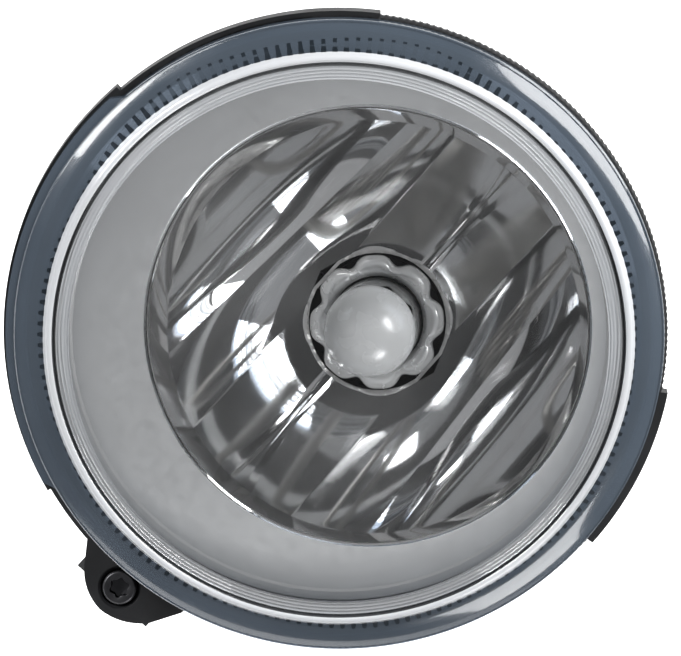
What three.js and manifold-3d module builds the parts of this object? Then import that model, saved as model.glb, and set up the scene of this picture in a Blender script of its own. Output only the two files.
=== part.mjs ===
// A round automotive fog lamp: a clear lens over a fluted reflector, in a black housing that tilts
// in a fixed bracket, with one aiming screw at the bottom and a twist-in bulb at the back.
//
// Millimetres, +Z up. The beam leaves along -Y. The origin is where the beam axis meets the plane
// of the bracket's three fixing pads, so the whole lamp stands in front of it, at negative Y.

import * as THREE from 'three';
import { mergeVertices } from 'three/addons/utils/BufferGeometryUtils.js';
import Module from 'manifold-3d';

const wasm = await Module();
wasm.setup();

// ---------------------------------------------------------------- driving dimensions

const GAP = 0.3; // clearance between neighbouring pieces

// The lens plane is raked against the beam axis, to follow the bumper.
const RAKE_YAW = THREE.MathUtils.degToRad(9.5);
const RAKE_PITCH = THREE.MathUtils.degToRad(6.8);
const FLANGE_CENTRE = new THREE.Vector3(-2.4, -58, -3.3);

const LENS_RADIUS = 45;
const FACE_RADIUS = 40;
const BAND_RISE = 1.7; // the sloping band between flange and front face
const CROWN_RISE = 3; // the front face's slight dome
const LENS_WALL = 2.2;
const FLANGE_THICKNESS = 1.8;
const SKIRT_OUTER = 43.2;
const SKIRT_INNER = 42;
const SKIRT_DEPTH = 3.9;
const KEY = { radius: 46.1, from: 174, to: 250 }; // wider stretch of the flange, in degrees

const RIM_RADIUS = 45.5; // housing rim, just behind the lens flange and a little wider
const RIM_REAR_RADIUS = 44.2;
const RIM_EDGE = 1.1; // straight part of the rim, in front of its taper
const GROOVE_OUTER = 43.6;
const GROOVE_INNER = 41.1;
const GROOVE_DEPTH = 5.8;
const DRUM_INNER = 39.7;
const RIM_TOP = FLANGE_THICKNESS + GAP;
const RIM_DEPTH = 7.2;
const RIM_PADS = [[2, 32, 46.4], [125, 174, 45.8], [172, 252, 46.5], [248, 262, 46]]; // degrees, radius
const SHOULDER_DEPTH = 14;
const WALL = 1.6;
const BOWL_CLEARANCE = 0.8; // between the reflector and the housing behind it

const FIELD_DEPTH = 3; // the reflector's flat field, behind the flange's front face
const FIELD_RADIUS = DRUM_INNER - 2 * GAP;
const SKIN = 1.6; // reflector wall
const MOUTH_RADIUS = 30.5; // where the lip crosses the beam axis plane of the field
const MOUTH_Y = -55;
const BOWL_RADIUS = 29.2;
const BOWL_Y = -42; // the lip ends here and the parabola starts
const NECK_RADIUS = 10.4;
const NECK_Y = -28.5;
const POST_CIRCLE = 37; // reflector screws, about the lens axis
const POST_RADIUS = 2.2;
const POST_ANGLES = [112, 180, 290];

const COLLAR_OUTER = 17;
const COLLAR_INNER = 14.5;
const SEAT_FRONT = -15.5; // the wall that the bulb locks into
const SEAT_REAR = -12.5;
const SEAT_RADIUS = 9.8;
const NOSE_RADIUS = 9.2;
const TAB_RADIUS = 11.8;
const TAB_ANGLES = [90, 210, 330];
const TAB_SWEEP = 26;
const BULB_TWIST = 40; // from locked to free, anticlockwise as seen from behind, in degrees

const GLASS_RADIUS = 6.4;
const BULB_TIP_Y = -57.5;
const FILAMENT_Y = -39;
const FERRULE_RADIUS = 8.8;

const TILT_Y = -28; // the tilt axis runs along X through this Y and Z = 0
const EAR_INNER = 29;
const EAR_OUTER = 36.6;
const ARM_INNER = 37.2;
const ARM_OUTER = 41.8;
const PIN_RADIUS = 2.4;

const PLATE = 4; // bracket plate
const BRACKET_INNER = 32.5;
const BRACKET_OUTER = 39.5;
const PAD_CIRCLE = 34.2;
const PAD_RADIUS = 6;
const PAD_ANGLES = { top: 90, left: 210, right: 330 };
const BOLT_HOLE_RADIUS = 3.25;
const SLEEVE_RADIUS = 4.3;
const PAD_DEPTH = 9;

const SCREW_X = -2;
const SCREW_Z = -51;
const LUG_FRONT = -46.8;
const LUG_REAR = -40.5;
const THREAD_RADIUS = 2;
const NUT_RADIUS = 4.2;
const NUT_FLAT = 3.6; // half width across the nut's flats

// ---------------------------------------------------------------- shape helpers

const Y_TO_X = new THREE.Matrix4().makeRotationZ(Math.PI / 2);
const tilt = new THREE.Matrix4().compose(
  FLANGE_CENTRE,
  new THREE.Quaternion().setFromEuler(new THREE.Euler(RAKE_PITCH, 0, RAKE_YAW, 'ZXY')),
  new THREE.Vector3(1, 1, 1)
);

function at(x, y, z) {
  return new THREE.Matrix4().makeTranslation(x, y, z);
}

// A closed three.js geometry as a solid that can be joined and cut.
function solid(geometry, matrix = new THREE.Matrix4()) {
  const bare = geometry.clone().applyMatrix4(matrix);
  bare.deleteAttribute('normal');
  bare.deleteAttribute('uv');
  const merged = mergeVertices(bare, 1e-4);
  const vertProperties = new Float32Array(merged.attributes.position.array);
  const corners = merged.index.array;
  const kept = [];
  const [a, b, c] = [new THREE.Vector3(), new THREE.Vector3(), new THREE.Vector3()];
  let volume = 0;
  for (let i = 0; i < corners.length; i += 3) {
    const [p, q, r] = [corners[i], corners[i + 1], corners[i + 2]];
    if (p === q || q === r || r === p) continue; // collapsed at a pole
    kept.push(p, q, r);
    a.fromArray(vertProperties, 3 * p);
    b.fromArray(vertProperties, 3 * q);
    c.fromArray(vertProperties, 3 * r);
    volume += a.dot(b.cross(c));
  }
  if (volume < 0) kept.reverse(); // turns an inside-out surface round
  const triVerts = new Uint32Array(kept);
  return new wasm.Manifold(new wasm.Mesh({ numProp: 3, vertProperties, triVerts }));
}

function geometryOf(part) {
  const mesh = part.getMesh();
  const geometry = new THREE.BufferGeometry();
  geometry.setAttribute('position', new THREE.BufferAttribute(mesh.vertProperties, 3));
  geometry.setIndex(new THREE.BufferAttribute(mesh.triVerts, 1));
  geometry.computeVertexNormals();
  return geometry;
}

function roundness(radius) {
  if (radius > 25) return 40;
  if (radius > 8) return 24;
  return radius > 3 ? 16 : 10;
}

// Solid of revolution about Y. The profile is a list of [radius, y]; off the axis it closes itself.
function turned(profile, matrix) {
  const points = profile.map(([radius, y]) => new THREE.Vector2(radius, y));
  const onAxis = points[0].x === 0 && points[points.length - 1].x === 0;
  if (!onAxis) points.push(points[0].clone());
  const widest = Math.max(...profile.map(([radius]) => radius));
  return solid(new THREE.LatheGeometry(points, roundness(widest)), matrix);
}

function ring(inner, outer, front, rear, matrix) {
  return turned([[inner, front], [outer, front], [outer, rear], [inner, rear]], matrix);
}

function rod(radius, front, rear, matrix) {
  return turned([[0, front], [radius, front], [radius, rear], [0, rear]], matrix);
}

// Straight rod along X, from left to right, centred on the given Y and Z.
function rodX(radius, left, right, y, z) {
  const place = at(0, y, z).multiply(Y_TO_X).multiply(new THREE.Matrix4().makeScale(1, -1, 1));
  return rod(radius, left, right, place);
}

function box([left, right], [front, rear], [bottom, top]) {
  const geometry = new THREE.BoxGeometry(right - left, rear - front, top - bottom);
  return solid(geometry, at((left + right) / 2, (front + rear) / 2, (bottom + top) / 2));
}

// An outline in X and Z, extruded along Y.
function plateY(shape, front, rear, matrix = new THREE.Matrix4()) {
  const geometry = new THREE.ExtrudeGeometry(shape, {
    depth: rear - front,
    bevelEnabled: false,
    curveSegments: 6,
  });
  geometry.rotateX(Math.PI / 2).translate(0, rear, 0);
  return solid(geometry, matrix);
}

// An outline in Y and Z, extruded along X.
function plateX(shape, left, right) {
  const geometry = new THREE.ExtrudeGeometry(shape, {
    depth: right - left,
    bevelEnabled: false,
    curveSegments: 6,
  });
  geometry.rotateX(Math.PI / 2).rotateZ(Math.PI / 2).translate(left, 0, 0);
  return solid(geometry);
}

// A sector of a ring about the Y axis, between two angles in degrees.
function sector(inner, outer, fromDeg, toDeg) {
  const [from, to] = [fromDeg, toDeg].map(THREE.MathUtils.degToRad);
  const shape = new THREE.Shape();
  shape.absarc(0, 0, outer, from, to, false);
  shape.absarc(0, 0, inner, to, from, true);
  return shape;
}

function polar(radius, degrees) {
  const angle = THREE.MathUtils.degToRad(degrees);
  return [radius * Math.cos(angle), radius * Math.sin(angle)];
}

function join(first, ...others) {
  return others.reduce((whole, next) => whole.add(next), first);
}

function cut(first, ...others) {
  return others.reduce((whole, next) => whole.subtract(next), first);
}

// ---------------------------------------------------------------- finishes

const finishes = {
  housing: { color: 0x1c1d1f, roughness: 0.5, metalness: 0 },
  bracket: { color: 0x222326, roughness: 0.62, metalness: 0 },
  lens: { color: 0xdfe7ec, roughness: 0.05, metalness: 0, transparent: true, opacity: 0.3 },
  mirror: { color: 0xc9cacb, roughness: 0.18, metalness: 1 },
  glass: { color: 0xeef2f4, roughness: 0.04, metalness: 0, transparent: true, opacity: 0.35 },
  steel: { color: 0x9a9c9f, roughness: 0.35, metalness: 1 },
  darkSteel: { color: 0x2c2d30, roughness: 0.4, metalness: 0.8 },
  brass: { color: 0xb8975a, roughness: 0.3, metalness: 1 },
  tungsten: { color: 0x6e6b66, roughness: 0.5, metalness: 1 },
  rubber: { color: 0x151516, roughness: 0.85, metalness: 0 },
  sealant: { color: 0x2a2a2b, roughness: 0.8, metalness: 0 },
  nylon: { color: 0xd9d6cb, roughness: 0.55, metalness: 0 },
  bulbPlastic: { color: 0x2a2a2c, roughness: 0.55, metalness: 0 },
};

function piece(name, part, finish, parent) {
  const mesh = new THREE.Mesh(geometryOf(part), new THREE.MeshStandardMaterial(finishes[finish]));
  mesh.name = name;
  parent.add(mesh);
  return mesh;
}

// ---------------------------------------------------------------- lens and seal (lens frame)

// The front face's dome, from its edge to its crown, as [radius, y] with y rearwards.
function dome(edgeRadius, edgeY, rise, steps) {
  return Array.from({ length: steps + 1 }, (_, i) => {
    const share = 1 - i / steps;
    return [edgeRadius * share, edgeY - rise * (1 - share * share)];
  });
}

function lensBody() {
  const key = plateY(sector(SKIRT_OUTER, KEY.radius, KEY.from, KEY.to), GAP, FLANGE_THICKNESS);
  return key.add(turned([
    ...dome(FACE_RADIUS - 0.5, LENS_WALL - BAND_RISE - 0.5, CROWN_RISE, 3).reverse(),
    [SKIRT_INNER, FLANGE_THICKNESS],
    [SKIRT_INNER, SKIRT_DEPTH],
    [SKIRT_OUTER, SKIRT_DEPTH],
    [SKIRT_OUTER, FLANGE_THICKNESS],
    [LENS_RADIUS, FLANGE_THICKNESS],
    [LENS_RADIUS, GAP],
    [LENS_RADIUS - 0.3, 0],
    [FACE_RADIUS, -BAND_RISE],
    ...dome(FACE_RADIUS - 0.6, -BAND_RISE - 0.5, CROWN_RISE, 3),
  ]));
}

// ---------------------------------------------------------------- housing

// A raked drum in front, about the lens axis, and a bowl behind it, about the beam axis.
function shellOuter() {
  const drum = turned([
    [0, RIM_TOP],
    [RIM_RADIUS, RIM_TOP],
    [RIM_RADIUS, RIM_TOP + RIM_EDGE],
    [RIM_REAR_RADIUS, RIM_DEPTH],
    [GROOVE_INNER, RIM_DEPTH],
    [GROOVE_INNER, SHOULDER_DEPTH],
    [0, SHOULDER_DEPTH],
  ], tilt);
  const behindShoulder = rod(60, SHOULDER_DEPTH - WALL, 70, tilt);
  return drum.add(bowl(SKIN + BOWL_CLEARANCE + WALL, NECK_Y + 4).intersect(behindShoulder));
}

function shellInner() {
  return rod(DRUM_INNER, 0, SHOULDER_DEPTH - WALL, tilt).add(bowl(SKIN + BOWL_CLEARANCE, NECK_Y + 3));
}

// A stretch of the rim that stands out further.
function rimPad([from, to, radius]) {
  return plateY(sector(GROOVE_OUTER + 0.5, radius, from, to), RIM_TOP, RIM_TOP + 2.4, tilt);
}

// The plate that carries a pivot pin, rounded about the tilt axis.
function ear(left, right) {
  const radius = 6;
  const shape = new THREE.Shape();
  shape.moveTo(-46, -radius);
  shape.lineTo(TILT_Y, -radius);
  shape.absarc(TILT_Y, 0, radius, -Math.PI / 2, Math.PI / 2, false);
  shape.lineTo(-46, radius);
  return plateX(shape, left, right);
}

function lug() {
  const shape = new THREE.Shape();
  shape.moveTo(-10.4, -41.5);
  shape.lineTo(-10, -48.9);
  shape.lineTo(-7.8, -52);
  shape.quadraticCurveTo(-5.6, -54.9, SCREW_X, -55.2);
  shape.quadraticCurveTo(1.6, -55, 4.4, -52.1);
  shape.lineTo(6.9, -47.8);
  shape.lineTo(7.4, -41.5);
  return plateY(shape, LUG_FRONT, LUG_REAR);
}

const VENT = { x: -14, z: 20.5, outer: 3.4, inner: 1.9, rear: -18 };

function housingBody() {
  const collarFront = -34;
  const whole = join(
    shellOuter(),
    ...RIM_PADS.map(rimPad),
    ear(-EAR_OUTER, -EAR_INNER),
    ear(EAR_INNER, EAR_OUTER),
    lug(),
    rod(COLLAR_OUTER, collarFront, SEAT_REAR),
    rod(VENT.outer, -36, VENT.rear, at(VENT.x, 0, VENT.z))
  );
  const bayonet = join(
    rod(SEAT_RADIUS, SEAT_FRONT - 1, SEAT_REAR + 1),
    ...TAB_ANGLES.map((angle) => {
      const half = TAB_SWEEP / 2 + 3;
      const centre = angle - BULB_TWIST;
      return plateY(sector(SEAT_RADIUS - 1, TAB_RADIUS + 0.5, centre - half, centre + half),
        SEAT_FRONT - 1, SEAT_REAR + 1);
    })
  );
  const screwPath = join(
    rod(2.7, -60, LUG_FRONT + 2.3, at(SCREW_X, 0, SCREW_Z)),
    rod(2.2, LUG_FRONT, LUG_REAR + 1, at(SCREW_X, 0, SCREW_Z))
  );
  const reflectorScrewHoles = POST_ANGLES.map((angle) => {
    const [x, z] = polar(POST_CIRCLE, angle);
    return rod(1.35, SHOULDER_DEPTH - 3, SHOULDER_DEPTH + 1, tilt.clone().multiply(at(x, 0, z)));
  });
  return cut(
    whole,
    shellInner(),
    ring(GROOVE_INNER, GROOVE_OUTER, 0, GROOVE_DEPTH, tilt),
    rod(COLLAR_INNER, collarFront - 4, SEAT_FRONT),
    bayonet,
    screwPath,
    rod(VENT.inner, -38, VENT.rear + 1, at(VENT.x, 0, VENT.z)),
    rodX(PIN_RADIUS + GAP, -EAR_OUTER - 1, -EAR_INNER - 1.5, TILT_Y, 0),
    rodX(PIN_RADIUS + GAP, EAR_INNER + 1.5, EAR_OUTER + 1, TILT_Y, 0),
    ...reflectorScrewHoles
  );
}

// ---------------------------------------------------------------- reflector

// Inside radius of the reflector at a given Y: a drafted lip in front, a parabola behind.
function reflectorRadius(y) {
  if (y <= BOWL_Y) {
    const draft = (MOUTH_RADIUS - BOWL_RADIUS) / (BOWL_Y - MOUTH_Y);
    return BOWL_RADIUS + draft * (BOWL_Y - y);
  }
  const slope = (BOWL_RADIUS ** 2 - NECK_RADIUS ** 2) / (NECK_Y - BOWL_Y);
  return Math.sqrt(NECK_RADIUS ** 2 + slope * (NECK_Y - y));
}

function bowl(offset, rear) {
  const steps = 5;
  const wall = [[0, -75], [reflectorRadius(-75) + offset, -75]];
  for (let i = 0; i <= steps; i += 1) {
    const y = BOWL_Y + (NECK_Y - BOWL_Y) * (i / steps);
    wall.push([reflectorRadius(y) + offset, y + offset * (i / steps)]);
  }
  const neck = NECK_RADIUS + offset;
  return turned([...wall, [neck, rear], [0, rear]]);
}

function reflectorBody() {
  const behindField = rod(60, FIELD_DEPTH, 70, tilt);
  const field = rod(FIELD_RADIUS, FIELD_DEPTH, FIELD_DEPTH + SKIN, tilt);
  const posts = POST_ANGLES.map((angle) => {
    const [x, z] = polar(POST_CIRCLE, angle);
    const place = tilt.clone().multiply(at(x, 0, z));
    const post = rod(POST_RADIUS, FIELD_DEPTH + 0.5, SHOULDER_DEPTH - WALL - GAP, place);
    return post.subtract(rod(1.25, FIELD_DEPTH + 3, SHOULDER_DEPTH, place));
  });
  const shell = bowl(SKIN, NECK_Y + 2.2).intersect(behindField);
  return join(shell, field, ...posts).subtract(bowl(0, NECK_Y + 4));
}

// ---------------------------------------------------------------- bulb (beam frame)

// The round tip of the bulb's envelope, from its crown on the axis to its side.
function roundTip(radius, crownY) {
  const steps = 4;
  return Array.from({ length: steps + 1 }, (_, i) => {
    const angle = (i / steps) * (Math.PI / 2);
    return [radius * Math.sin(angle), crownY + 0.8 * radius * (1 - Math.cos(angle))];
  });
}

function glassBody() {
  const rear = -25;
  const wall = 1;
  return turned([
    ...roundTip(GLASS_RADIUS - wall, BULB_TIP_Y + wall),
    [GLASS_RADIUS - wall, rear],
    [GLASS_RADIUS, rear],
    ...roundTip(GLASS_RADIUS, BULB_TIP_Y).reverse(),
  ]);
}

function ferruleBody() {
  const lobes = 8;
  const shape = new THREE.Shape();
  const steps = lobes * 4;
  for (let i = 0; i < steps; i += 1) {
    const angle = (i / steps) * 2 * Math.PI;
    const radius = FERRULE_RADIUS - 0.45 * (1 - Math.cos(lobes * angle));
    const [x, z] = [radius * Math.cos(angle), radius * Math.sin(angle)];
    if (i === 0) shape.moveTo(x, z);
    else shape.lineTo(x, z);
  }
  const plate = plateY(shape, -27.5, -26.2);
  const cup = rod(7.7, -27, -24.6);
  return join(plate, cup).subtract(rod(GLASS_RADIUS + GAP, -30, -20));
}

const SHROUD = { halfWidth: 10.5, front: -5.5, rear: 8.5, bottom: -24.6, wall: 1.7, floor: -9.5 };

function bulbBase() {
  const hollow = box(
    [-SHROUD.halfWidth + SHROUD.wall, SHROUD.halfWidth - SHROUD.wall],
    [SHROUD.front + SHROUD.wall, SHROUD.rear - SHROUD.wall],
    [SHROUD.bottom - 1, SHROUD.floor]
  );
  const tabs = TAB_ANGLES.map((angle) => plateY(
    sector(NOSE_RADIUS - 1, TAB_RADIUS, angle - TAB_SWEEP / 2, angle + TAB_SWEEP / 2),
    SEAT_FRONT - 2.4, SEAT_FRONT - GAP
  ));
  const latch = box([-3.2, 3.2], [SHROUD.rear - 0.5, SHROUD.rear + 1.6], [-20.5, -17.5]);
  return join(
    rod(NOSE_RADIUS, -24.2, -7),
    ...tabs,
    rod(15.5, -9.4, SHROUD.front + 0.2),
    rod(12.2, SHROUD.front, SHROUD.rear - 2),
    box([-SHROUD.halfWidth, SHROUD.halfWidth], [SHROUD.front, SHROUD.rear], [SHROUD.bottom, -4]),
    latch
  ).subtract(hollow);
}

// A wire as an eight-sided tube along straight legs with rounded corners.
function wire(points, radius) {
  const corners = points.map((point) => new THREE.Vector3(...point));
  const path = new THREE.CatmullRomCurve3(corners, false, 'catmullrom', 0.2);
  const section = new THREE.Shape();
  section.absarc(0, 0, radius, 0, 2 * Math.PI, false);
  return solid(new THREE.ExtrudeGeometry(section, {
    extrudePath: path,
    steps: 4 * (points.length - 1),
    curveSegments: 4,
    bevelEnabled: false,
  }));
}

// ---------------------------------------------------------------- aiming screw and nut

// Six-lobe drive socket, as an outline about the screw's axis.
function sixLobe(radius) {
  const shape = new THREE.Shape();
  const steps = 24;
  for (let i = 0; i < steps; i += 1) {
    const angle = (i / steps) * 2 * Math.PI;
    const reach = radius * (1 - 0.07 * (1 - Math.cos(6 * angle)));
    const [x, z] = [reach * Math.cos(angle), reach * Math.sin(angle)];
    if (i === 0) shape.moveTo(x, z);
    else shape.lineTo(x, z);
  }
  return shape;
}

function screwBody() {
  const head = -47.2;
  const shank = turned([
    [0, head],
    [2.4, head],
    [2.4, LUG_FRONT + 2],
    [1.9, LUG_FRONT + 2],
    [1.9, -39],
    [THREAD_RADIUS, -38.6],
    [THREAD_RADIUS, -17.8],
    [THREAD_RADIUS - 0.6, -17],
    [0, -17],
  ]);
  return shank.subtract(plateY(sixLobe(1.4), head - 1, head + 2));
}

function nutBody() {
  const ball = solid(new THREE.SphereGeometry(NUT_RADIUS, 16, 8));
  const sides = box([-NUT_FLAT, NUT_FLAT], [-NUT_RADIUS, NUT_RADIUS], [-NUT_RADIUS, NUT_RADIUS]);
  return ball.intersect(sides).subtract(rod(THREAD_RADIUS + GAP, -6, 6));
}

// ---------------------------------------------------------------- bracket

function arm(left, right) {
  const radius = 7;
  const shape = new THREE.Shape();
  shape.moveTo(0, -radius);
  shape.lineTo(0, radius);
  shape.lineTo(TILT_Y, radius);
  shape.absarc(TILT_Y, 0, radius, Math.PI / 2, 1.5 * Math.PI, false);
  return plateX(shape, left, right);
}

function bracketBody() {
  const pads = Object.values(PAD_ANGLES).map((angle) => {
    const [x, z] = polar(PAD_CIRCLE, angle);
    return rod(PAD_RADIUS, -PAD_DEPTH, 0, at(x, 0, z));
  });
  const sleeveHoles = Object.values(PAD_ANGLES).map((angle) => {
    const [x, z] = polar(PAD_CIRCLE, angle);
    return rod(SLEEVE_RADIUS + GAP, -PAD_DEPTH - 1, 1, at(x, 0, z));
  });
  const reach = 6.6; // half width of the adjuster arm
  const socket = box([SCREW_X - reach, SCREW_X + reach], [TILT_Y - 6.4, TILT_Y + 6.4], [-54.5, -44]);
  const pocket = box([SCREW_X - NUT_FLAT - GAP, SCREW_X + NUT_FLAT + GAP],
    [TILT_Y - NUT_RADIUS - GAP, TILT_Y + NUT_RADIUS + GAP], [-58, -46.2]);
  const screwSlot = box([SCREW_X - 2.7, SCREW_X + 2.7], [TILT_Y - 10, TILT_Y + 10], [-58, -47]);
  return cut(
    join(
      ring(BRACKET_INNER, BRACKET_OUTER, -PLATE, 0),
      ...pads,
      box([-ARM_OUTER, -34], [-PLATE, 0], [-7, 7]),
      box([34, ARM_OUTER], [-PLATE, 0], [-7, 7]),
      arm(-ARM_OUTER, -ARM_INNER),
      arm(ARM_INNER, ARM_OUTER),
      box([SCREW_X - reach, SCREW_X + reach], [-PLATE, 0], [-47.5, -36]),
      box([SCREW_X - reach, SCREW_X + reach], [TILT_Y - 6.4, 0], [-47.5, -44]),
      socket
    ),
    ...sleeveHoles,
    pocket,
    screwSlot,
    rodX(4.2, -ARM_OUTER - 1, -ARM_INNER + 1, TILT_Y, 0),
    rodX(4.2, ARM_INNER - 1, ARM_OUTER + 1, TILT_Y, 0)
  );
}

// ---------------------------------------------------------------- assembly

const fogLamp = new THREE.Group();

const bracket = new THREE.Group();
fogLamp.add(bracket);
piece('mounting_bracket', bracketBody(), 'bracket', bracket);
for (const [side, angle] of Object.entries(PAD_ANGLES)) {
  const [x, z] = polar(PAD_CIRCLE, angle);
  const sleeve = ring(BOLT_HOLE_RADIUS, SLEEVE_RADIUS, -PAD_DEPTH, 0);
  piece(`bolt_sleeve_${side}`, sleeve, 'steel', bracket).position.set(x, 0, z);
}

const lamp = new THREE.Group();
fogLamp.add(lamp);
piece('housing', housingBody(), 'housing', lamp);
piece('reflector', reflectorBody(), 'mirror', lamp);

for (const [side, sign] of [['left', -1], ['right', 1]]) {
  const bush = ring(PIN_RADIUS + GAP, 4.2 - GAP, ARM_INNER, ARM_OUTER);
  const pin = turned([
    [0, EAR_INNER + 2.5],
    [PIN_RADIUS, EAR_INNER + 2.5],
    [PIN_RADIUS, ARM_OUTER + GAP],
    [4.6, ARM_OUTER + GAP],
    [4.6, ARM_OUTER + 1.6],
    [3.6, ARM_OUTER + 2.2],
    [0, ARM_OUTER + 2.2],
  ]);
  const bushMesh = piece(`pivot_bush_${side}`, bush, 'nylon', bracket);
  const pinMesh = piece(`pivot_pin_${side}`, pin, 'steel', lamp);
  for (const mesh of [bushMesh, pinMesh]) {
    mesh.rotation.z = -sign * Math.PI / 2;
    mesh.position.set(0, TILT_Y, 0);
  }
}

const optics = new THREE.Group(); // the raked lens frame
optics.position.copy(FLANGE_CENTRE);
optics.rotation.set(RAKE_PITCH, 0, RAKE_YAW, 'ZXY');
lamp.add(optics);
piece('lens', lensBody(), 'lens', optics);
const seal = ring(GROOVE_INNER + GAP, GROOVE_OUTER - GAP, SKIRT_DEPTH + GAP, GROOVE_DEPTH - GAP);
piece('lens_seal', seal, 'sealant', optics);
POST_ANGLES.forEach((angle, i) => {
  const [x, z] = polar(POST_CIRCLE, angle);
  const screw = turned([
    [0, SHOULDER_DEPTH - 6],
    [1, SHOULDER_DEPTH - 6],
    [1, SHOULDER_DEPTH + GAP],
    [2.6, SHOULDER_DEPTH + GAP],
    [2.6, SHOULDER_DEPTH + 1.4],
    [1.6, SHOULDER_DEPTH + 2.2],
    [0, SHOULDER_DEPTH + 2.2],
  ]);
  piece(`reflector_screw_${i + 1}`, screw, 'steel', optics).position.set(x, 0, z);
});

const ventCap = turned([
  [VENT.outer + GAP, VENT.rear - 5],
  [VENT.outer + 1.7, VENT.rear - 5],
  [VENT.outer + 1.7, VENT.rear + 1.2],
  [VENT.outer + 0.9, VENT.rear + 2],
  [1.2, VENT.rear + 2],
  [1.2, VENT.rear + GAP],
  [VENT.outer + GAP, VENT.rear + GAP],
]);
piece('vent_cap', ventCap, 'rubber', lamp).position.set(VENT.x, 0, VENT.z);

const clip = ring(THREAD_RADIUS + GAP, 3.8, LUG_REAR + GAP, LUG_REAR + 1.3);
piece('adjuster_clip', clip, 'steel', lamp).position.set(SCREW_X, 0, SCREW_Z);
piece('adjuster_screw', screwBody(), 'darkSteel', lamp).position.set(SCREW_X, 0, SCREW_Z);
piece('adjuster_nut', nutBody(), 'nylon', lamp).position.set(SCREW_X, TILT_Y, SCREW_Z);

const bulb = new THREE.Group();
lamp.add(bulb);
piece('bulb_glass', glassBody(), 'glass', bulb);
piece('bulb_ferrule', ferruleBody(), 'steel', bulb);
piece('bulb_base', bulbBase(), 'bulbPlastic', bulb);
piece('base_seal', ring(NOSE_RADIUS + 0.8, 13.6, SEAT_REAR + GAP, -9.4 - GAP), 'rubber', bulb);
piece('filament', rod(0.8, FILAMENT_Y - 2.3, FILAMENT_Y + 2.3), 'tungsten', bulb);
const shortLead = wire([[1.9, -24.6, 0], [1.9, -33, 0], [0.6, -35.6, 0], [0, -36.4, 0]], 0.3);
const longLead = wire([[-2.4, -24.6, 0], [-2.4, -40, 0], [-2, -43.6, 0], [0, -43.4, 0], [0, -41.6, 0]], 0.3);
piece('filament_lead_short', shortLead, 'tungsten', bulb);
piece('filament_lead_long', longLead, 'tungsten', bulb);
for (const [side, sign] of [['left', -1], ['right', 1]]) {
  const blade = box([-1.4, 1.4], [2.2, 3], [-21.5, SHROUD.floor - GAP]);
  piece(`terminal_${side}`, blade, 'brass', bulb).position.x = sign * 4;
}

export default fogLamp;
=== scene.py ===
"""Looks for the round fog lamp: lens, fluted reflector, bulb, housing, bracket, fasteners, studio.

Every local length is in millimetres and becomes metres when a mesh is made. Pieces that belong to
the raked lens are built about its own axis, at the place and angles it has in the CAD part.
"""

import math

import bmesh
import bpy
from mathutils import Matrix, Vector


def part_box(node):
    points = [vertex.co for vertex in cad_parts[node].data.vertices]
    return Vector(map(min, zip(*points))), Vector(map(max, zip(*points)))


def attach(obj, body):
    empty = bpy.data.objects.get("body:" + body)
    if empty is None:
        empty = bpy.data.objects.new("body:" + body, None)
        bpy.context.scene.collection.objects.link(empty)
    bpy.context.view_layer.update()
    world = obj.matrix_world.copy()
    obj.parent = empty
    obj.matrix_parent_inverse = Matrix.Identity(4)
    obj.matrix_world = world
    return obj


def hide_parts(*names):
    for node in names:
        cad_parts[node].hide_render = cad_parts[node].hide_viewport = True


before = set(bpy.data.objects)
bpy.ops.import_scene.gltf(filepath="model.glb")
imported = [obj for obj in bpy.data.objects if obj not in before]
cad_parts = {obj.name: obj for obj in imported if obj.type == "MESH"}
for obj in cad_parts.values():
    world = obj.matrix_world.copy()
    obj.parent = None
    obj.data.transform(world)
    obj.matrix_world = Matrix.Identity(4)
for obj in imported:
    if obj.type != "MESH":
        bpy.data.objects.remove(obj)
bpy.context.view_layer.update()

MM = 0.001
TAU = 2 * math.pi


# ------------------------------------------------------------------ places taken from the frame

def box_mm(node):
    low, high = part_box(node)
    return low / MM, high / MM


def middle_mm(node):
    low, high = box_mm(node)
    return (low + high) / 2


# The lens's own frame: y rearwards along its axis, origin in the flange's face.
LENS = (
    Matrix.Translation((-2.4, -58, -3.3))
    @ Matrix.Rotation(math.radians(9.5), 4, "Z")
    @ Matrix.Rotation(math.radians(6.8), 4, "X")
)
TIP = Vector((0, box_mm("bulb_glass")[0].y, 0))
SCREW = middle_mm("adjuster_screw")
VENT = middle_mm("vent_cap")
NUT = middle_mm("adjuster_nut")
TILT_Y = middle_mm("pivot_pin_left").y


# ------------------------------------------------------------------ mesh helpers

def obj_from(name, verts, faces, place=Matrix.Identity(4), gap=2e-7, sliver=1e-8):
    """A mesh object from points in mm, moved by place (also in mm).

    Corners closer than gap and faces thinner than sliver, both in metres, are merged away.
    """
    bm = bmesh.new()
    made = [bm.verts.new((place @ Vector(v)) * MM) for v in verts]
    for face in faces:
        corners = []
        for i in face:
            if made[i] not in corners:
                corners.append(made[i])
        if len(corners) > 2:
            bm.faces.new(corners)
    bmesh.ops.remove_doubles(bm, verts=bm.verts, dist=gap)
    bmesh.ops.dissolve_degenerate(bm, edges=bm.edges, dist=sliver)
    bmesh.ops.recalc_face_normals(bm, faces=bm.faces)
    mesh = bpy.data.meshes.new(name)
    bm.to_mesh(mesh)
    bm.free()
    made_object = bpy.data.objects.new(name, mesh)
    bpy.context.scene.collection.objects.link(made_object)
    return made_object


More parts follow.
